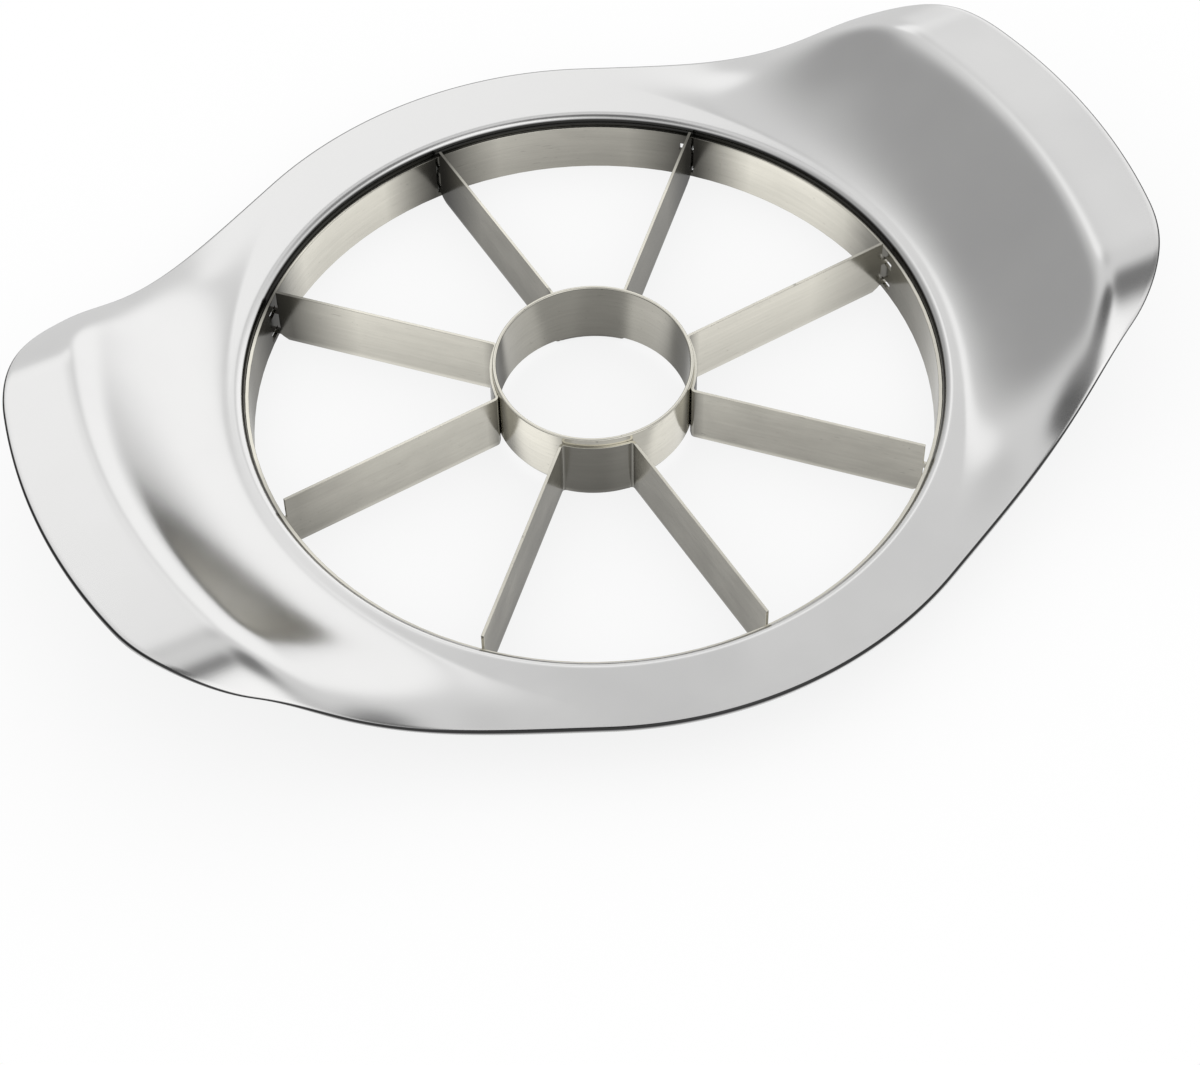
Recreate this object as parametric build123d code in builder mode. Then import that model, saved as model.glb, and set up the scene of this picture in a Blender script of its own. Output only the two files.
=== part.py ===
from build123d import *
from math import asin, atan, cos, degrees, pi, radians, sin, sqrt, tan
import os

# Apple slicer and corer with two wing handles, in millimetres.
#
# A polished handle plate is pressed from one sheet: a flat ring with a lip bent
# down round its opening, and two wings that rise from the ring on a dished ramp.
# An outer band sits inside the lip. Four U-shaped blade strips run from the band
# to the corer ring, wrap an eighth of its outside and run back, so each of them
# makes two of the eight blades. The first blade of a strip is radial, and the
# second leans a little off the radius. Small tabs on the blade ends pass through
# slots in the band.
#
# Z = 0 is the plane that the band and the blades stand on, the Z axis is the
# axis of the opening, and the wings lie along X.

# ---------------------------------------------------------------- sizes
# Outer band
band_radius = 44.5          # inside
band_wall = 0.5
band_height = 8.6

# Blade strips
strip_wall = 0.4
strip_rise = 0.4            # strips above the top of the band
strip_bend = 0.7            # inside radius of the two bends next to the corer
blade_step = 45             # angle between neighbouring blades, in degrees
lean_offset = 2.0           # from the axis to the line of a strip's second blade
lean_end = 1.3              # second blade past its place at the band, in degrees
end_gap = 0.6               # between a blade's outer end and the band
corner_cut = 1.0            # cut corner at the lower outer end of a blade
cutting_depth = 0.7         # height of the ground lower edge
cutting_edge = 0.14         # thickness left at the ground edge

# Tabs on the blade ends and their slots in the band
tab_height = 0.9
tab_proud = 0.35            # tab past the outside of the band
tab_margin = 1.0            # lower tab above the bottom of the band
slot_clearance = 0.15       # above and below a tab, and on its outer side
slot_reach = 1.6            # from the middle of a tab towards the strip's other blade

# Corer ring
corer_radius = 13.0         # outside
corer_wall = 0.5
corer_height = 9.4
corer_rise = 1.5            # corer above the top of the strips

# Handle plate
sheet = 1.0
lip_bend = 1.0              # inside radius of the bend round the opening
lip_step = 0.5              # flat ring above the top of the band
collar_land = 0.7           # straight part of the lip under its bend
collar_gap = 0.3            # between the lip's edge and the upper slots
ring_radius = 54.9          # outside of the flat ring, on its plain sides
wing_reach = 74.0           # from the axis to the tip of a wing
corner_radius = 21.0
flank_angle = 25.5          # of the wing's straight sides to X, in degrees
wing_rise = 12.5            # wing tip above the flat ring
foot_land = 0.3             # flat ring between the lip's bend and the ramp
crest_reach = 64.5          # from the axis to the crest, along X
foot_pull = 0.35            # how far the foot eases in, as a share of the ramp's length
crest_pull = 0.20           # how far the crest eases out, as a share of the ramp's length
crest_curve = 50.0          # radius of the crest line at X, seen from above
foot_curve = 44.0           # radius of the ramp's foot line at X
level_half_width = 24.0     # half of the wing's level width
flank_fall = 22.0           # width over which a wing's side falls to the ring

# ---------------------------------------------------------------- derived
band_outside = band_radius + band_wall
strip_height = band_height + strip_rise
blade_end = band_radius - end_gap
corer_top = strip_height + corer_rise
corer_bottom = corer_top - corer_height

ring_top = band_height + lip_step
lip_radius = band_outside + lip_bend + sheet
bend_height = ring_top - sheet - lip_bend
collar_bottom = bend_height - collar_land
foot_reach = lip_radius + foot_land

slot_height = tab_height + 2 * slot_clearance
slot_width = slot_reach + strip_wall / 2 + slot_clearance
slot_shift = slot_reach - slot_width / 2
slot_depth = 4 * band_wall  # centred on the inside face, so it cuts right through the wall
upper_tab = collar_bottom - collar_gap - slot_height / 2
lower_tab = tab_margin + tab_height / 2
tab_levels = (lower_tab, upper_tab)
tab_length = end_gap + band_wall + tab_proud

# Angle of the first blade of each strip, anticlockwise from X
strip_starts = {"right": -45, "back": 45, "left": 135, "front": 225}
second_blade_turn = blade_step + lean_end

os.makedirs("parts", exist_ok=True)


# ---------------------------------------------------------------- handle plate
def wing_section(y):
    """Closed section of the bent sheet across the plate at y, from X = 0 outwards."""
    fall = min(max((abs(y) - level_half_width) / flank_fall, 0), 1)
    rise = wing_rise * cos(pi / 2 * fall) ** 2
    foot = foot_reach - y**2 / (2 * foot_curve)
    crest = crest_reach - y**2 / (2 * crest_curve)
    length = crest - foot
    past_tip = wing_reach + sheet

    # The top face climbs on one curve, level at both ends
    top = [(foot, 0), (foot + foot_pull * length, 0), (crest - crest_pull * length, rise), (crest, rise)]

    # The under face is one sheet thickness away, measured square to the top face. Half way
    # along the curve its inner points count for three quarters.
    middle_angle = atan(2 * rise / ((2 - foot_pull - crest_pull) * length))
    shift = sheet * tan(middle_angle / 2) * 4 / 3
    under = [(x + inner * shift, z - sheet) for (x, z), inner in zip(top, (0, 1, 1, 0))]

    plane = Plane.XZ.offset(-y) * Pos(0, ring_top)
    with BuildSketch(plane) as section:
        with BuildLine():
            Line((0, 0), top[0])
            Bezier(*top)
            Line(top[-1], (past_tip, rise))
            Line((past_tip, rise), (past_tip, rise - sheet))
            Line((past_tip, rise - sheet), under[-1])
            Bezier(*reversed(under))
            Line(under[0], (0, -sheet))
            Line((0, -sheet), (0, 0))
        make_face()
    return section.sketch


half_span = level_half_width + flank_fall
section_steps = 20
stations = [half_span * (2 * step / section_steps - 1) for step in range(section_steps + 1)]

with BuildPart() as wing:
    loft([wing_section(y) for y in stations])

# Outline from above: four flanks tangent to the ring, cut by the circle of the tips
with BuildPart() as blank:
    with BuildSketch():
        flank_x = ring_radius / sin(radians(flank_angle))
        flank_y = ring_radius / cos(radians(flank_angle))
        Polygon((flank_x, 0), (0, flank_y), (-flank_x, 0), (0, -flank_y))
        fillet(vertices().group_by(Axis.Y)[0] + vertices().group_by(Axis.Y)[-1], radius=ring_radius)
        Circle(wing_reach, mode=Mode.INTERSECT)
        tip_arcs = edges().filter_by(GeomType.CIRCLE).group_by(SortBy.RADIUS)[-1]
        fillet(tip_arcs.vertices(), radius=corner_radius)
    extrude(amount=ring_top + wing_rise + sheet)

with BuildPart() as handle_plate:
    with BuildSketch(Plane.XY.offset(ring_top - sheet)):
        Rectangle(2 * ring_radius, 2 * ring_radius)
        Rectangle(2 * ring_radius, 2 * half_span, mode=Mode.SUBTRACT)
    extrude(amount=sheet)
    add(wing.part)
    mirror(wing.part, about=Plane.YZ)
    add(blank.part, mode=Mode.INTERSECT)
    with Locations((0, 0, ring_top)):
        Cylinder(lip_radius, ring_top, mode=Mode.SUBTRACT)
    with BuildSketch(Plane.XZ):
        with BuildLine():
            Line((lip_radius, ring_top - sheet), (lip_radius, ring_top))
            RadiusArc((lip_radius, ring_top), (band_outside, bend_height), -(lip_bend + sheet))
            Line((band_outside, bend_height), (band_outside, collar_bottom))
            Line((band_outside, collar_bottom), (band_outside + sheet, collar_bottom))
            Line((band_outside + sheet, collar_bottom), (band_outside + sheet, bend_height))
            RadiusArc((band_outside + sheet, bend_height), (lip_radius, ring_top - sheet), lip_bend)
        make_face()
    revolve(axis=Axis.Z)

handle_plate.part.label = "handle_plate"
export_step(handle_plate.part, "parts/handle_plate.step")


# ---------------------------------------------------------------- outer band
with BuildPart() as outer_band:
    with BuildSketch():
        Circle(band_outside)
        Circle(band_radius, mode=Mode.SUBTRACT)
    extrude(amount=band_height)
    for first_angle in strip_starts.values():
        for turn, shift in ((0, slot_shift), (second_blade_turn, -slot_shift)):
            with PolarLocations(band_radius, 1, start_angle=first_angle + turn):
                with Locations([(0, shift, level) for level in tab_levels]):
                    Box(slot_depth, slot_width, slot_height, mode=Mode.SUBTRACT)

outer_band.part.label = "outer_band"
export_step(outer_band.part, "parts/outer_band.step")


# ---------------------------------------------------------------- corer ring
with BuildPart() as corer_ring:
    with BuildSketch(Plane.XY.offset(corer_bottom)):
        Circle(corer_radius)
        Circle(corer_radius - corer_wall, mode=Mode.SUBTRACT)
    extrude(amount=corer_height)
    bottom = faces().sort_by(Axis.Z)[0]
    ground_edge = bottom.edges().sort_by(SortBy.RADIUS)[-1]
    chamfer(ground_edge, length=corer_wall - cutting_edge, length2=cutting_depth, reference=bottom)

corer_ring.part.label = "corer_ring"
export_step(corer_ring.part, "parts/corer_ring.step")


# ---------------------------------------------------------------- blade strips
wrap_radius = corer_radius + strip_wall / 2
bend_radius = strip_bend + strip_wall / 2


def polar(radius, angle):
    """Point in the plane at a radius and an angle in degrees."""
    return Vector(radius, 0).rotate(Axis.Z, angle)


def blade_line(end_angle, offset, side):
    """Middle line of a blade and its bend: direction, outer end, bend start, bend end.

    The blade's line passes the axis at the offset, on the side where its strip
    wraps the corer: side is 1 where that is anticlockwise of the blade, and -1
    where it is clockwise. The bend touches the line and the wrap's circle.
    """
    direction = end_angle - side * degrees(asin(offset / blade_end))
    centre_aside = offset + bend_radius
    centre_along = sqrt((wrap_radius + bend_radius) ** 2 - centre_aside**2)
    bend_start = Vector(centre_along, side * offset).rotate(Axis.Z, direction)
    bend_centre = Vector(centre_along, side * centre_aside).rotate(Axis.Z, direction)
    bend_end = bend_centre.normalized() * wrap_radius
    return direction, polar(blade_end, end_angle), bend_start, bend_end


def strip_outline(first_blade, second_blade):
    """Plan of a strip: in along one blade, round the corer, and out along the other."""
    first_turn, first_end, first_start, wrap_start = first_blade
    second_turn, second_end, second_start, wrap_end = second_blade
    wrap_middle = (wrap_start + wrap_end).normalized() * wrap_radius
    with BuildSketch() as outline:
        with BuildLine() as path:
            Line(first_end, first_start)
            TangentArc(first_start, wrap_start, tangent=polar(-1, first_turn))
            ThreePointArc(wrap_start, wrap_middle, wrap_end)
            TangentArc(second_start, wrap_end, tangent=polar(-1, second_turn))
            Line(second_start, second_end)
        trace(path.edges(), line_width=strip_wall)
    return outline.sketch


for side, first_angle in strip_starts.items():
    first_blade = blade_line(first_angle, 0, 1)
    second_blade = blade_line(first_angle + second_blade_turn, lean_offset, -1)
    with BuildPart() as blade_pair:
        extrude(strip_outline(first_blade, second_blade), amount=strip_height)
        bottom = faces().sort_by(Axis.Z)[0]
        ground_edges = bottom.edges().filter_by(lambda edge: edge.length > 2 * strip_wall)
        ground_width = (strip_wall - cutting_edge) / 2
        chamfer(ground_edges, length=ground_width, length2=cutting_depth, reference=bottom)
        for direction, outer_end, bend_start, bend_end in (first_blade, second_blade):
            upright = Plane(outer_end, x_dir=polar(1, direction), z_dir=polar(1, direction - 90))
            with BuildSketch(upright):
                Polygon((0, 0), (0, corner_cut), (-corner_cut, 0), align=None)
            extrude(amount=strip_wall, both=True, mode=Mode.SUBTRACT)
            with BuildSketch(upright):
                with Locations([(0, level) for level in tab_levels]):
                    Rectangle(2 * tab_length, tab_height)
            extrude(amount=strip_wall / 2, both=True)
    name = f"blade_pair_{side}"
    blade_pair.part.label = name
    export_step(blade_pair.part, f"parts/{name}.step")
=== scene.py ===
import bpy
import math
import numpy as np
from mathutils import Matrix


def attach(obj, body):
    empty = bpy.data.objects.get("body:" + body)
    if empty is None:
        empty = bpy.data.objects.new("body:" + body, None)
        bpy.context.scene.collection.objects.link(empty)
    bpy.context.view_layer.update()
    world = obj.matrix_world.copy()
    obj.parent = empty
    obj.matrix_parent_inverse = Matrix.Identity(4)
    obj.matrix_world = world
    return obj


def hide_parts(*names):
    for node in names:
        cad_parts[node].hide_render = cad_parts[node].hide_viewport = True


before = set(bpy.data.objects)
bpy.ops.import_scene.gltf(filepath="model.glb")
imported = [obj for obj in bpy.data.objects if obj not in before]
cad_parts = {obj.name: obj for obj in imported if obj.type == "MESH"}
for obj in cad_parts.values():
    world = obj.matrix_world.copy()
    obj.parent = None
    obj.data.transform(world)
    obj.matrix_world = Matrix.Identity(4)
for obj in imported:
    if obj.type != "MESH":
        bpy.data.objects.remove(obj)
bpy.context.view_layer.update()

# Apple slicer and corer, in metres. Z = 0 is the plane of the cutting edges, the Z axis is the
# axis of the opening, and the two wings of the handle plate lie along X.


# ---------------------------------------------------------------- handle plate
# One sheet of stainless steel, blanked, pressed and polished to a mirror. Its flat ring turns
# down into a short collar round the opening, and its wings rise over a dished ramp to level tips.
sheet = 0.0010
collar_inside = 0.0450
collar_bottom = 0.0064
bend_height = 0.0078
ring_top = 0.0091
lip_inside = ring_top - sheet - bend_height
lip_outside = lip_inside + sheet
lip_reach = collar_inside + lip_outside
ring_radius = 0.0549
wing_reach = 0.0740
corner_radius = 0.0210
flank_normal = math.radians(64.5)
wing_rise = 0.0125
foot_reach = 0.0470
crest_reach = 0.0660
foot_ease = 0.45
steepest = 0.70
foot_curve = 0.0470
crest_curve = 0.0850
level_half_width = 0.0215
flank_fall = 0.0270
edge_round = 0.00030
bend_steps = 13
edge_steps = 5


def outline_radius(angle):
    """Distance from the axis to the plate's outline, seen from above.

    The angle is folded into the first quarter. From the wing's tip to the ring the outline is
    the circle of the tips, a corner circle inside it, a straight flank that touches the corner
    circle and the ring, and the ring's own circle.
    """
    folded = np.abs((angle + np.pi / 2) % np.pi - np.pi / 2)
    centre_reach = wing_reach - corner_radius
    centre_turn = flank_normal - np.arccos((ring_radius - corner_radius) / centre_reach)
    along = centre_reach * np.cos(folded - centre_turn)
    corner = along + np.sqrt(np.maximum(along**2 - centre_reach**2 + corner_radius**2, 0))
    corner_end = np.arctan2(
        centre_reach * np.sin(centre_turn) + corner_radius * np.sin(flank_normal),
        centre_reach * np.cos(centre_turn) + corner_radius * np.cos(flank_normal))
    flank = ring_radius / np.cos(folded - flank_normal)
    curved = np.where(folded < centre_turn, wing_reach, np.where(folded < corner_end, corner, flank))
    return np.where(folded > flank_normal, ring_radius, curved)


def climb_share(way):
    """Share of the rise reached at a share of the way from foot to crest.

    The slope grows as the way to the power of foot_ease, and from steepest on it eases off to
    nothing at the crest. The share is the running sum of that slope.
    """
    t = np.linspace(0, 1, 1001)
    left = np.clip((1 - t) / (1 - steepest), 0, 1)
    slope = t**foot_ease * left**2 * (3 - 2 * left)
    share = np.cumsum(slope) - slope / 2
    return np.interp(way, t, share / share[-1])


def plate_height(x, y):
    """Height of the plate's top face.

    The foot and crest lines are parabolas in Y. Between them the face climbs along X by
    climb_share, and the whole rise falls off towards the flanks on a curve of the fifth degree,
    which leaves the level and meets the ring without a break in its bend.
    """
    x, y = np.abs(x), np.abs(y)
    aside = np.clip((y - level_half_width) / flank_fall, 0, 1)
    rise = wing_rise * (1 - aside**3 * (10 - 15 * aside + 6 * aside**2))
    foot = foot_reach - y**2 / (2 * foot_curve)
    crest = crest_reach - y**2 / (2 * crest_curve)
    return ring_top + rise * climb_share(np.clip((x - foot) / (crest - foot), 0, 1))


def unit(vectors):
    """Vectors brought to length 1."""
    return vectors / np.linalg.norm(vectors, axis=-1, keepdims=True)


def ring_points(radius, angle, height):
    """Points round the Z axis: a row for each angle, with the radii and heights along it."""
    return np.stack(np.broadcast_arrays(radius * np.cos(angle), radius * np.sin(angle), height), -1)


def top_face(radius, angle):
    """Points on the top face, and the face's upward normal from its slopes along X and Y."""
    x, y = radius * np.cos(angle), radius * np.sin(angle)
    step = 0.00002
    across = (plate_height(x + step, y) - plate_height(x - step, y)) / (2 * step)
    away = (plate_height(x, y + step) - plate_height(x, y - step)) / (2 * step)
    return np.stack([x, y, plate_height(x, y)], -1), unit(np.stack([-across, -away, np.ones_like(x)], -1))


def plate_loop(steps_round, steps_across):
    """Points of the whole sheet as a closed profile carried round the axis.

    The profile goes up the inside of the collar, over the bend, outwards on the top face to the
    outline, round the edge, back on the under face one sheet below, measured square to the top
    face, and down the outside of the collar. The second value is 1 on the edge's upper rounding,
    which gets a painted dark reflection line.
    """
    angle = np.linspace(0, 2 * np.pi, steps_round, endpoint=False)[:, None]
    bend_turn = np.linspace(0, np.pi / 2, bend_steps)
    turn_back = bend_turn[::-1][1:]
    upper_turn = np.linspace(0, np.pi / 2, edge_steps)[1:, None]
    lower_turn = upper_turn[::-1]

    top_end = outline_radius(angle) - edge_round
    share = np.linspace(0, 1, steps_across)
    top, normal = top_face(lip_reach + (top_end - lip_reach) * share, angle)
    last, last_normal = top[:, -1:], normal[:, -1:]
    outward = ring_points(1, angle, 0)
    outward = unit(outward - last_normal * (outward * last_normal).sum(-1, keepdims=True))
    upper_edge = last + edge_round * (
        np.sin(upper_turn) * outward - (1 - np.cos(upper_turn)) * last_normal)
    lower_edge = last - (sheet - edge_round) * last_normal + edge_round * (
        np.sin(lower_turn) * outward - np.cos(lower_turn) * last_normal)
    under = (top - sheet * normal)[:, ::-1]

    collar_outside = collar_inside + sheet
    foot_radii = np.array([collar_outside, collar_outside - edge_round, collar_inside + edge_round])
    foot_heights = np.array([collar_bottom + edge_round, collar_bottom, collar_bottom])
    inner_heights = np.array([collar_bottom + edge_round, bend_height - edge_round])
    parts = [
        ring_points(collar_inside, angle, inner_heights),
        ring_points(collar_inside + lip_outside * (1 - np.cos(bend_turn)), angle,
                    bend_height + lip_outside * np.sin(bend_turn)),
        top[:, 1:], upper_edge, lower_edge, under,
        ring_points(collar_outside + lip_inside * (1 - np.cos(turn_back)), angle,
                    bend_height + lip_inside * np.sin(turn_back)),
        ring_points(foot_radii, angle, foot_heights),
    ]
    # Marks the edge's upper rounding, which gets a painted dark reflection line
    painted_edge_line = [np.full(part.shape[:2], float(part is upper_edge)) for part in parts]
    return np.concatenate(parts, 1), np.concatenate(painted_edge_line, 1)


def smooth_mesh(name, points, faces, sharp=None):
    """Mesh with smooth faces, and a hard edge wherever two of them meet at more than an angle."""
    mesh = bpy.data.meshes.new(name)
    mesh.from_pydata(points.tolist(), [], faces.tolist())
    mesh.polygons.foreach_set("use_smooth", np.ones(len(faces), bool))
    if sharp is not None:
        mesh.set_sharp_from_angle(angle=sharp)
    mesh.update()
    return mesh


def closed_mesh(name, points, sharp=None, clockwise=False):
    """Mesh of a grid of points that closes on itself both ways, with faces pointing outwards.

    The grid's rows are copies of a profile, carried round the axis. A clockwise profile runs up
    its side next to the axis and down its far side, and has its faces turned over.
    """
    index = np.arange(points[..., 0].size).reshape(points.shape[:2])
    after = np.roll(index, -1, 0)
    faces = np.stack([index, after, np.roll(after, -1, 1), np.roll(index, -1, 1)], -1)
    if clockwise:
        faces = faces[..., [0, 3, 2, 1]]
    return smooth_mesh(name, points.reshape(-1, 3), faces.reshape(-1, 4), sharp)


def add_piece(name, mesh, material, replaced):
    """Puts a finished piece in the scene on the one body, standing for its CAD node."""
    piece = bpy.data.objects.new(name, mesh)
    bpy.context.scene.collection.objects.link(piece)
    mesh.materials.append(material)
    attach(piece, "root")
    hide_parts(replaced)
    return piece


def new_steel(name):
    """A bare metal: the material, its shader, and the place on the piece that patterns follow."""
    material = bpy.data.materials.new(name)
    material.use_nodes = True
    shader = material.node_tree.nodes["Principled BSDF"]
    shader.inputs["Metallic"].default_value = 1.0
    place = material.node_tree.nodes.new("ShaderNodeTexCoord").outputs["Object"]
    return material, shader, place


def feed(value, socket):
    """Sets an input to a number or a colour, or links it to another node's output."""
    if isinstance(value, bpy.types.NodeSocket):
        socket.id_data.links.new(value, socket)
    else:
        socket.default_value = value


def mapped(value, low, high, to_low, to_high, smooth=False):
    """A value taken from one range to another and held inside it, evenly or with soft ends."""
    change = value.id_data.nodes.new("ShaderNodeMapRange")
    if smooth:
        change.interpolation_type = "SMOOTHSTEP"
    for socket, number in zip(("From Min", "From Max", "To Min", "To Max"), (low, high, to_low, to_high)):
        change.inputs[socket].default_value = number
    feed(value, change.inputs["Value"])
    return change.outputs["Result"]


def mixed(share, first, second, kind="FLOAT"):
    """First where the share is 0 and second where it is 1, as numbers or as colours."""
    mix = share.id_data.nodes.new("ShaderNodeMix")
    mix.data_type = kind
    feed(share, mix.inputs["Factor"])
    feed(first, mix.inputs["A"])
    feed(second, mix.inputs["B"])
    return mix.outputs["Result"]


def drawn(place, scale, detail):
    """Noise with a scale of its own for each axis."""
    nodes = place.id_data.nodes
    stretch = nodes.new("ShaderNodeMapping")
    stretch.inputs["Scale"].default_value = scale
    feed(place, stretch.inputs["Vector"])
    noise = nodes.new("ShaderNodeTexNoise")
    noise.inputs["Scale"].default_value = 1
    noise.inputs["Detail"].default_value = detail
    feed(stretch.outputs["Vector"], noise.inputs["Vector"])
    return noise.outputs["Fac"]


def from_axis(place):
    """Distance from the Z axis: the length of the place without its Z part."""
    nodes = place.id_data.nodes
    level_part = nodes.new("ShaderNodeVectorMath")
    level_part.operation = "MULTIPLY"
    level_part.inputs[1].default_value = (1, 1, 0)
    feed(place, level_part.inputs[0])
    length = nodes.new("ShaderNodeVectorMath")
    length.operation = "LENGTH"
    feed(level_part.outputs["Vector"], length.inputs[0])
    return length.outputs["Value"]


def raised(height, strength, distance, below=None):
    """The surface's normal tilted by a height, on top of another such normal if one is given."""
    bump = height.id_data.nodes.new("ShaderNodeBump")
    bump.inputs["Strength"].default_value = strength
    bump.inputs["Distance"].default_value = distance
    feed(height, bump.inputs["Height"])
    if below is not None:
        feed(below, bump.inputs["Normal"])
    return bump.outputs["Normal"]


# Slow clouds of the hand polish shift the tone and the gloss a little. From the collar's bend
# inwards the metal is painted near black, a painted shade for the groove where the collar meets
# the band, and the cut edge's upper rounding has a thin painted dark reflection line.
cloud_scale = (70, 70, 70)
cloud_dim, cloud_bright = (0.875, 0.872, 0.868, 1), (0.915, 0.912, 0.905, 1)
collar_shade_colour = (0.05, 0.05, 0.048, 1)
painted_edge_line_colour = (0.06, 0.06, 0.06, 1)
collar_shade_to, collar_shade_gone_from = 0.04525, 0.04542
mirror_roughness = (0.18, 0.23)
noise_range = (0.30, 0.70)
polished, steel, place = new_steel("mirror_polished_steel")
clouds = drawn(place, cloud_scale, 5)
tone = mixed(mapped(clouds, *noise_range, 0.0, 1.0), cloud_dim, cloud_bright, "RGBA")
# Painted shade: the metal is near black from the collar's bend inwards
clear_of_collar_shade = mapped(from_axis(place), collar_shade_to, collar_shade_gone_from, 0.0, 1.0)
# The edge's upper rounding gets a painted dark reflection line
on_painted_edge_line = polished.node_tree.nodes.new("ShaderNodeAttribute")
on_painted_edge_line.attribute_name = "painted_edge_line"
plate_colour = mixed(clear_of_collar_shade, collar_shade_colour, tone, "RGBA")
plate_colour = mixed(on_painted_edge_line.outputs["Fac"], plate_colour, painted_edge_line_colour, "RGBA")
feed(plate_colour, steel.inputs["Base Color"])
feed(mapped(clouds, *noise_range, *mirror_roughness), steel.inputs["Roughness"])

# The buffing wheel's hair lines run along the wings, and the pressed sheet is very faintly uneven
hair_line_scale, hair_line_depth = (120, 3200, 3200), 0.000004
uneven_scale, uneven_depth = (160, 160, 160), 0.00003
uneven = raised(drawn(place, uneven_scale, 1), 0.30, uneven_depth)
hair_lines = raised(drawn(place, hair_line_scale, 3), 0.30, hair_line_depth, below=uneven)
feed(hair_lines, steel.inputs["Normal"])

plate_points, painted_edge_line = plate_loop(steps_round=720, steps_across=48)
plate_mesh = closed_mesh("polished_plate", plate_points, clockwise=True)
# The mark for the painted dark reflection line on the edge's upper rounding
plate_mesh.attributes.new("painted_edge_line", "FLOAT", "POINT").data.foreach_set("value", painted_edge_line.ravel())
add_piece("polished_plate", plate_mesh, polished, "handle_plate")


# ---------------------------------------------------------------- outer band
# A thin satin strip rolled into a ring. It sits inside the collar, and each blade end has two
# slots through it, cut wider towards the blade's partner.
band_inside = 0.0445
band_wall = 0.0005
band_height = 0.0077
tab_height = 0.0009
tab_levels = (0.00145, 0.0055)
slot_clearance = 0.00015
slot_reach = 0.0016
strip_wall = 0.0004
blade_step = math.radians(45)
lean_end = math.radians(1.3)
strip_starts = {"right": -45, "back": 45, "left": 135, "front": 225}
broken_edge = 0.00008
edge_angle = math.radians(40)


def sheet_mesh(name, front, back, keep, closed=False):
    """Mesh of a sheet between two grids of points, with walls where the kept cells end.

    front and back are the sheet's two faces, and keep says which cells of the grid are metal.
    A closed sheet joins its last row to its first.
    """
    if closed:
        front, back = np.concatenate([front, front[:1]]), np.concatenate([back, back[:1]])
    rows, columns = front.shape[:2]
    to_back = rows * columns
    index = np.arange(to_back).reshape(rows, columns)
    if closed:
        index[-1] = index[0]
    a, b, c, d = index[:-1, :-1], index[1:, :-1], index[1:, 1:], index[:-1, 1:]
    faces = [np.stack([a, b, c, d], -1)[keep], np.stack([a, d, c, b], -1)[keep] + to_back]

    def walls(change, low, high):
        """Walls from front to back, turned one way where metal starts and the other where it ends."""
        return [np.stack([low, high, high + to_back, low + to_back], -1)[change == 1],
                np.stack([high, low, low + to_back, high + to_back], -1)[change == -1]]

    along = np.concatenate([keep[-1:], keep]) if closed else np.pad(keep, ((1, 1), (0, 0)))
    lines = index[:-1] if closed else index
    faces += walls(np.diff(along.astype(int), axis=0), lines[:, :-1], lines[:, 1:])
    across = np.pad(keep, ((0, 0), (1, 1)))
    faces += walls(np.diff(across.astype(int), axis=1), index[1:], index[:-1])
    used, faces = np.unique(np.concatenate(faces), return_inverse=True)
    points = np.concatenate([front.reshape(-1, 3), back.reshape(-1, 3)])[used]
    return smooth_mesh(name, points, faces.reshape(-1, 4), edge_angle)


def break_edges(piece):
    """Rounds the cut edges of a sheet, which catch the light as thin bright lines."""
    bevel = piece.modifiers.new("broken_edges", "BEVEL")
    bevel.width = broken_edge
    bevel.segments = 2
    bevel.limit_method = "ANGLE"
    bevel.angle_limit = edge_angle
    bevel.harden_normals = True


def calculated(operation, first, second=0.0):
    """One or two values, the second of which may be a plain number, put through an operation."""
    result = first.id_data.nodes.new("ShaderNodeMath")
    result.operation = operation
    feed(first, result.inputs[0])
    feed(second, result.inputs[1])
    return result.outputs["Value"]


def product(first, second):
    """Two values multiplied."""
    return calculated("MULTIPLY", first, second)


def parts_of(vector):
    """The X, Y and Z parts of a vector."""
    parts = vector.id_data.nodes.new("ShaderNodeSeparateXYZ")
    feed(vector, parts.inputs["Vector"])
    return parts.outputs["X"], parts.outputs["Y"], parts.outputs["Z"]


satin_tint = (1.0, 0.968, 0.86, 1)
satin_roughness = (0.13, 0.21)
rolled_scale, cloudy_scale = (90, 90, 2600), (140, 140, 260)
scratch_scale, speck_scale = (420, 420, 7000), (2600, 2600, 2600)
scratch_range, speck_range = (0.70, 0.76), (0.76, 0.80)
# Tones: the up-facing cut edges get a painted highlight against the upright faces, and the sheet gets
# painted shade towards its lower edge and a painted dark reflection beside the joints.
rolled_tone, cloudy_tone, upright_tone, lower_shade_tone, joint_reflection_tone = 0.93, 0.90, 0.74, 0.80, 0.17
upright_range = (0.3, 0.8)
lower_shade_range = (0.0010, 0.0085)
joint_reflection_reach = (0.0325, 0.0420)
joint_reflection_spread = (0.02, 0.20)
joint_reflection_side = (-0.6, 0.6)


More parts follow.
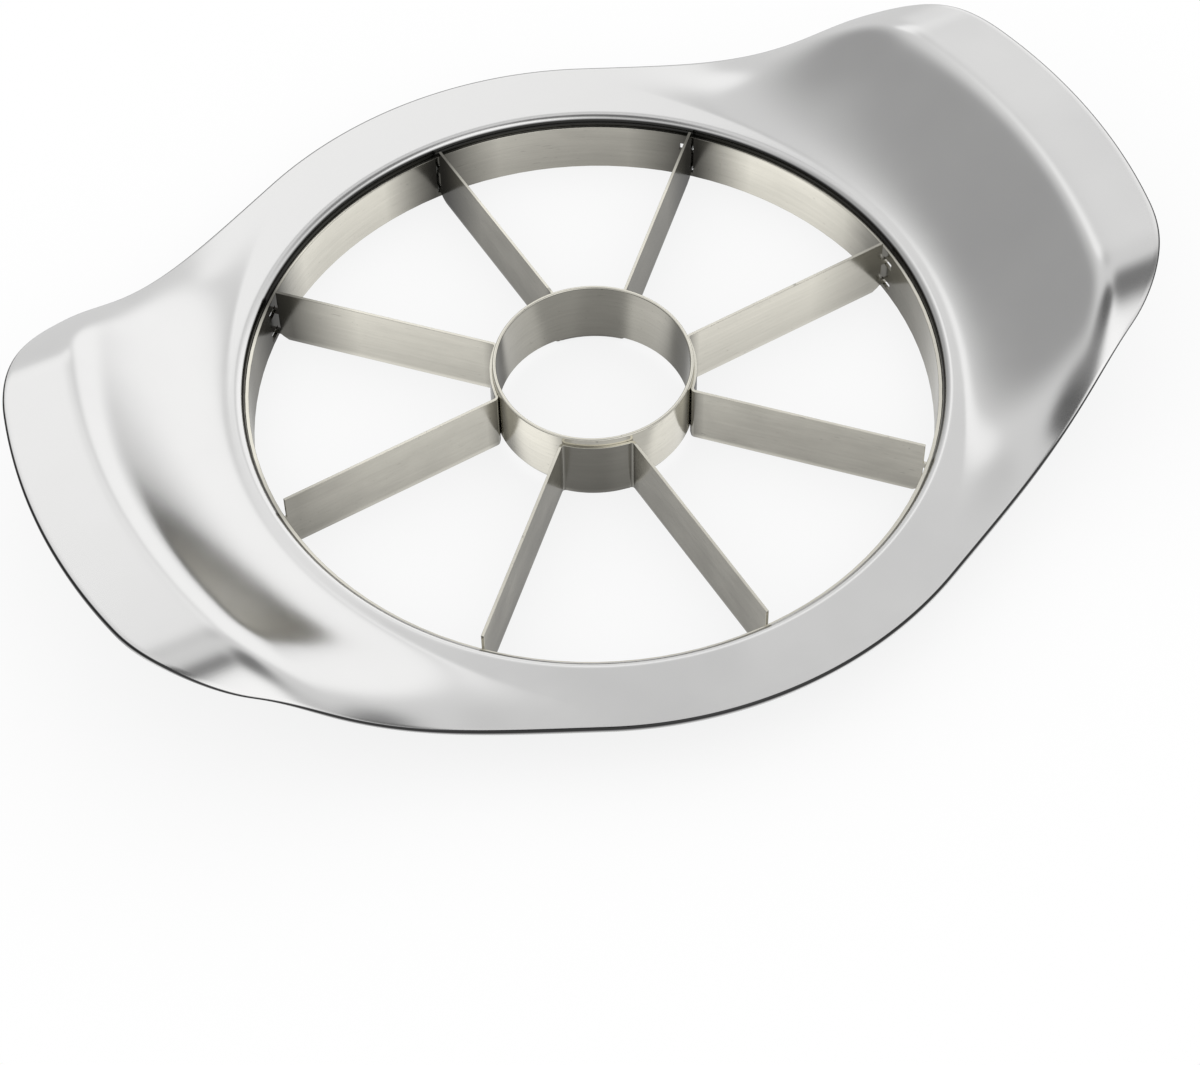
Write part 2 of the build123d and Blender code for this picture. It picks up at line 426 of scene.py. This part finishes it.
def satin_steel(name, streaks, marks, inner_shade, inner_shade_to, fade):
    """Cold-rolled sheet: a warm grey with rolling streaks, specks and short scratches.

    Every strip stands on edge, so its rolling direction is level: the streaks are noise drawn out
    in X and Y and squeezed in Z. Streaks is the depth of their relief, and marks how dark the
    scratches are. Sheet nearer the axis than the given reach is darkened by the given share, a
    painted shade for the shade round and inside the corer, and that fades out over the next
    stretch. Cut edges that face up get a painted highlight against the darker upright faces,
    painted shade makes the sheet a little darker towards its lower edge, and a painted dark
    reflection darkens the sheet beside the joints.
    """
    material, steel, place = new_steel(name)
    x, y, z = parts_of(place)
    reach = from_axis(place)
    normal = material.node_tree.nodes.new("ShaderNodeNewGeometry").outputs["Normal"]
    # Cut edges that face up get a painted highlight
    up_facing_highlight = mapped(parts_of(normal)[2], *upright_range, 0.0, 1.0)

    rolled = drawn(place, rolled_scale, 4)
    cloudy = drawn(place, cloudy_scale, 4)
    scratched = drawn(place, scratch_scale, 2)
    specks = drawn(place, speck_scale, 1)
    share = product(mapped(rolled, *noise_range, rolled_tone, 1.0),
                    mapped(cloudy, *noise_range, cloudy_tone, 1.0))
    share = product(share, mapped(scratched, *scratch_range, 1.0, 1 - marks))
    share = product(share, mapped(specks, *speck_range, 1.0, 1 - marks))
    # Painted shade near the axis, for the shade round and inside the corer
    upright_with_inner_shade = mapped(reach, inner_shade_to, inner_shade_to + fade, upright_tone * inner_shade, upright_tone)
    share = product(share, mixed(up_facing_highlight, upright_with_inner_shade, 1.0))

    # A painted dark reflection beside the joints is strongest at a joint, reaches 11 degrees to each
    # side and 9.5 mm inwards from the band, and grows towards the +Y side. The distance to the
    # nearest joint is a zigzag of the angle, one for the first blades of the strips and one for their
    # second blades.
    angle = calculated("ARCTAN2", y, x)
    joints = [calculated("PINGPONG", calculated("ADD", angle, 2 * math.pi - turn), blade_step)
              for turn in (blade_step, lean_end)]
    beside = calculated("MAXIMUM", *[mapped(joint, *joint_reflection_spread, 1.0, 0.0) for joint in joints])
    outer = mapped(reach, *joint_reflection_reach, 0.0, 1.0)
    side = mapped(calculated("DIVIDE", y, reach), *joint_reflection_side, 0.0, 1.0)
    joint_reflection = product(beside, product(side, outer))
    share = product(share, mapped(joint_reflection, 0.0, 1.0, 1.0, joint_reflection_tone))
    # Painted shade towards the lower edge
    share = product(share, mapped(z, *lower_shade_range, lower_shade_tone, 1.0))

    feed(mixed(share, (0, 0, 0, 1), satin_tint, "RGBA"), steel.inputs["Base Color"])
    feed(mapped(cloudy, *noise_range, *satin_roughness), steel.inputs["Roughness"])
    feed(raised(rolled, 0.5, streaks), steel.inputs["Normal"])
    return material


def edge_levels(height):
    """Lower and upper edge of each of the two rows of tabs or slots, from the bottom up."""
    return [level + side * height / 2 for level in tab_levels for side in (-1, 1)]


# The strips' wrap round the corer lies within the reach of the painted shade
satin = satin_steel(
    "satin_steel", streaks=0.000003, marks=0.35, inner_shade=0.38, inner_shade_to=0.0135, fade=0.0015)

# The band's lines of points stand at the slots' ends and at even steps between the slots
plain_steps = 14
near = (strip_wall / 2 + slot_clearance) / band_inside
far = slot_reach / band_inside
slot_edges = []
for start in strip_starts.values():
    first = math.radians(start)
    second = first + blade_step + lean_end
    slot_edges += [(first - near, first + far), (second - far, second + near)]
slot_edges = np.sort(np.array(slot_edges), 0)
next_slots = np.append(slot_edges[1:, 0], slot_edges[0, 0] + 2 * np.pi)
between = np.linspace(slot_edges[:, 1], next_slots, plain_steps)[1:-1]
band_angle = np.sort(np.concatenate([slot_edges.ravel(), between.ravel()]))
middles = (band_angle + np.append(band_angle[1:], band_angle[0] + 2 * np.pi))[:, None] / 2
in_slot = ((middles > slot_edges[:, 0]) & (middles < slot_edges[:, 1])).any(1)
slot_rows = np.array([False, True, False, True, False])
band_level = np.array([0, *edge_levels(tab_height + 2 * slot_clearance), band_height])
band_faces = [ring_points(radius, band_angle[:, None], band_level)
              for radius in (band_inside + band_wall, band_inside)]
band_mesh = sheet_mesh("slotted_band", *band_faces, ~(in_slot[:, None] & slot_rows), closed=True)
band = add_piece("slotted_band", band_mesh, satin, "outer_band")
break_edges(band)


# ---------------------------------------------------------------- corer ring
# A short satin tube in the middle, which stands above the blades. Its lower edge is ground from
# the outside to cut round the core.
corer_outside = 0.0130
corer_wall = 0.0005
corer_inside = corer_outside - corer_wall
corer_bottom = 0.0011
corer_top = 0.0105
ground_height = 0.0007
cutting_edge = 0.00014
rim_round = 0.00018
rim_angle = math.radians(25)
rim_steps = 5
corer_steps = 144

corer_angle = np.linspace(0, 2 * np.pi, corer_steps, endpoint=False)[:, None]
rim_turn = np.linspace(0, np.pi / 2, rim_steps)
rim_in, rim_down = rim_round * (1 - np.cos(rim_turn)), rim_round * (1 - np.sin(rim_turn))
corer_radius = np.concatenate([
    [corer_inside + cutting_edge, corer_outside],
    corer_outside - rim_in, corer_inside + rim_in[::-1],
    [corer_inside, corer_inside]])
corer_level = np.concatenate([
    [corer_bottom, corer_bottom + ground_height],
    corer_top - rim_down, corer_top - rim_down[::-1],
    [corer_bottom + ground_height, corer_bottom]])
corer_mesh = closed_mesh("corer_tube", ring_points(corer_radius, corer_angle, corer_level), rim_angle)
# The tube's inside lies within the reach of the painted shade
brushed = satin_steel(
    "brushed_corer_steel", streaks=0.000016, marks=0.45, inner_shade=0.52, inner_shade_to=0.0126, fade=0.0002)
add_piece("corer_tube", corer_mesh, brushed, "corer_ring")


# ---------------------------------------------------------------- blade strips
# Four strips of thin sheet. Each makes two blades: it comes in from the band, bends, wraps the
# corer, bends again and goes back, with two tabs at each end and a ground lower edge.
strip_height = 0.0094
strip_bend = 0.0003
blade_end = 0.0439
lean_offset = 0.0020
corner_cut = 0.0010
tab_length = 0.00145
wrap_radius = corer_outside + strip_wall / 2
bend_radius = strip_bend + strip_wall / 2
straight_steps = 25
corner_steps = 10
wrap_steps = 18
strip_level = np.array([0, ground_height, *edge_levels(tab_height), strip_height])
half_wall = np.where(strip_level == 0, cutting_edge / 2, strip_wall / 2)
tab_rows = np.array([False, False, True, False, True, False])


def blade_line(end_angle, offset, side):
    """Middle line of a blade seen from above, from its tabs inwards to the end of its bend.

    The straight part passes the axis at the offset, on the side where the strip wraps the corer,
    and the bend is the arc that touches it and the wrap. Returns points, and the angle where the
    wrap takes over.
    """
    direction = end_angle - side * math.asin(offset / blade_end)
    centre_aside = offset + bend_radius
    centre_along = math.sqrt((wrap_radius + bend_radius) ** 2 - centre_aside**2)
    straight_end = math.sqrt(blade_end**2 - offset**2)
    straight = np.linspace(straight_end, centre_along, straight_steps)
    straight = np.append(straight_end + tab_length, straight)
    turn = np.linspace(0, math.pi - math.atan2(centre_along, centre_aside), corner_steps)[1:]
    along = np.concatenate([straight, centre_along - bend_radius * np.sin(turn)])
    aside = np.concatenate([0 * straight + offset, centre_aside - bend_radius * np.cos(turn)]) * side
    points = np.stack([along * math.cos(direction) - aside * math.sin(direction),
                       along * math.sin(direction) + aside * math.cos(direction)], -1)
    return points, direction + side * math.atan2(centre_aside, centre_along)


def strip_face(centre, normal, side):
    """One face of a strip: its middle line at each level, moved aside by half the thickness."""
    moved = centre + side * half_wall[:, None] * normal[:, None]
    return np.concatenate([moved, np.broadcast_to(strip_level[:, None], (*moved.shape[:2], 1))], -1)


for side, start in strip_starts.items():
    start = math.radians(start)
    first, wrap_start = blade_line(start, 0, 1)
    second, wrap_end = blade_line(start + blade_step + lean_end, lean_offset, -1)
    turn = np.linspace(wrap_start, wrap_end, wrap_steps)[1:-1]
    wrap = wrap_radius * np.stack([np.cos(turn), np.sin(turn)], -1)
    path = np.concatenate([first, wrap, second[::-1]])
    along = unit(np.gradient(path, axis=0))
    normal = np.stack([-along[:, 1], along[:, 0]], -1)

    # The blades' lower outer corners are cut off, so the ends draw back towards the bottom
    cut = np.maximum(corner_cut - strip_level, 0)[:, None]
    centre = np.repeat(path[:, None], len(strip_level), 1)
    centre[1] += cut * along[1]
    centre[-2] -= cut * along[-2]

    keep = np.ones((len(path) - 1, len(strip_level) - 1), bool)
    keep[[0, -1]] = tab_rows
    strip_faces = [strip_face(centre, normal, towards) for towards in (-1, 1)]
    strip_mesh = sheet_mesh(f"blade_strip_{side}", *strip_faces, keep)
    strip = add_piece(f"blade_strip_{side}", strip_mesh, satin, f"blade_pair_{side}")
    break_edges(strip)


# ---------------------------------------------------------------- floor and light
# A plain pale floor that keeps a soft contact shadow, and a studio of soft light round it.
# Reflections don't see the floor, only the studio.
floor_half = 3.0
floor_level = 0.85
shadow_level = 0.84
shadow_reach = 0.05

floor_corners = [(x * floor_half, y * floor_half, 0) for x, y in ((-1, -1), (1, -1), (1, 1), (-1, 1))]
floor_mesh = bpy.data.meshes.new("floor")
floor_mesh.from_pydata(floor_corners, [], [(0, 1, 2, 3)])
floor = bpy.data.objects.new("floor", floor_mesh)
bpy.context.scene.collection.objects.link(floor)
floor.visible_glossy = False

white_floor = bpy.data.materials.new("white_floor")
white_floor.use_nodes = True
nodes = white_floor.node_tree.nodes
nodes.clear()
shadow = nodes.new("ShaderNodeAmbientOcclusion")
shadow.samples = 16
shadow.inputs["Distance"].default_value = shadow_reach
shade = mapped(shadow.outputs["AO"], 0.0, 1.0, shadow_level, 1.0)
seen = nodes.new("ShaderNodeLightPath").outputs["Is Camera Ray"]
glow = nodes.new("ShaderNodeEmission")
feed(mixed(seen, floor_level, shade), glow.inputs["Strength"])
feed(glow.outputs["Emission"], nodes.new("ShaderNodeOutputMaterial").inputs["Surface"])
floor_mesh.materials.append(white_floor)

# The studio as the metal sees it: a plain level, and soft light or dark patches by direction.
# A patch has its full level out to the first angle from its middle, and is gone at the second.
studio_level = 0.68
studio_patches = {
    "bright_back": dict(azimuth=80, elevation=48, full=6, gone=12, level=1.00),
    "bright_far_ring": dict(azimuth=66, elevation=42, full=4, gone=10, level=0.97),
    "dim_near": dict(azimuth=62, elevation=60, full=4, gone=11, level=0.55),
    "grey_left": dict(azimuth=146, elevation=9, full=34, gone=62, level=0.345),
    "bright_right": dict(azimuth=32, elevation=16, full=21, gone=36, level=0.98),
    "dark_back": dict(azimuth=19, elevation=-32, full=18, gone=43, level=0.27),
    "bright_front": dict(azimuth=-78, elevation=50, full=16, gone=30, level=1.04),
    "dark_front_right": dict(azimuth=-22, elevation=60, full=8, gone=24, level=0.16),
    "dark_front_left": dict(azimuth=-140, elevation=68, full=8, gone=24, level=0.20),
    "dark_top": dict(azimuth=-110, elevation=79, full=9, gone=18, level=0.10),
    "bright_floor_left": dict(azimuth=172, elevation=-50, full=17, gone=30, level=1.22),
    "dim_floor_front": dict(azimuth=-128, elevation=-50, full=12, gone=26, level=0.55),
    "bright_floor_right": dict(azimuth=-22, elevation=-50, full=17, gone=26, level=1.08),
    "dim_floor_left": dict(azimuth=118, elevation=-50, full=5, gone=30, level=0.37),
    "dim_floor_back": dict(azimuth=34, elevation=-50, full=4, gone=22, level=0.35),
}
world = bpy.data.worlds.new("studio")
bpy.context.scene.world = world
world.use_nodes = True
nodes = world.node_tree.nodes
nodes.clear()
direction = nodes.new("ShaderNodeTexCoord").outputs["Generated"]
level = studio_level
for name, patch in studio_patches.items():
    azimuth, elevation = math.radians(patch["azimuth"]), math.radians(patch["elevation"])
    towards = nodes.new("ShaderNodeVectorMath")
    towards.label = name
    towards.operation = "DOT_PRODUCT"
    towards.inputs[1].default_value = (math.cos(azimuth) * math.cos(elevation),
                                       math.sin(azimuth) * math.cos(elevation), math.sin(elevation))
    feed(direction, towards.inputs[0])
    angle = calculated("ARCCOSINE", towards.outputs["Value"])
    gone, full = math.radians(patch["gone"]), math.radians(patch["full"])
    level = mixed(mapped(angle, gone, full, 0.0, 1.0, smooth=True), level, patch["level"])
seen = nodes.new("ShaderNodeLightPath").outputs["Is Camera Ray"]
glow = nodes.new("ShaderNodeBackground")
glow.inputs["Color"].default_value = (1, 1, 1, 1)
feed(mixed(seen, level, 1.0), glow.inputs["Strength"])
feed(glow.outputs["Background"], nodes.new("ShaderNodeOutputWorld").inputs["Surface"])


# ---------------------------------------------------------------- camera
# Above the near side, a little to the left, with the sensor shifted to frame the object
camera_place = (-0.10992, -0.22118, 0.30716)
camera_azimuth = math.radians(-26.383)
camera_elevation = math.radians(50.575)
camera_roll = math.radians(1.231)
camera_data = bpy.data.cameras.new("camera")
camera_data.sensor_width = 36
camera_data.lens = 90.094
camera_data.shift_x = 0.00667
camera_data.shift_y = -0.12708
camera_data.clip_start = 0.01
camera = bpy.data.objects.new("camera", camera_data)
bpy.context.scene.collection.objects.link(camera)
bpy.context.scene.camera = camera
camera.matrix_world = (Matrix.Translation(camera_place)
                       @ Matrix.Rotation(camera_azimuth, 4, "Z")
                       @ Matrix.Rotation(math.pi / 2 - camera_elevation, 4, "X")
                       @ Matrix.Rotation(-camera_roll, 4, "Z"))

bpy.context.scene.view_settings.view_transform = "Standard"
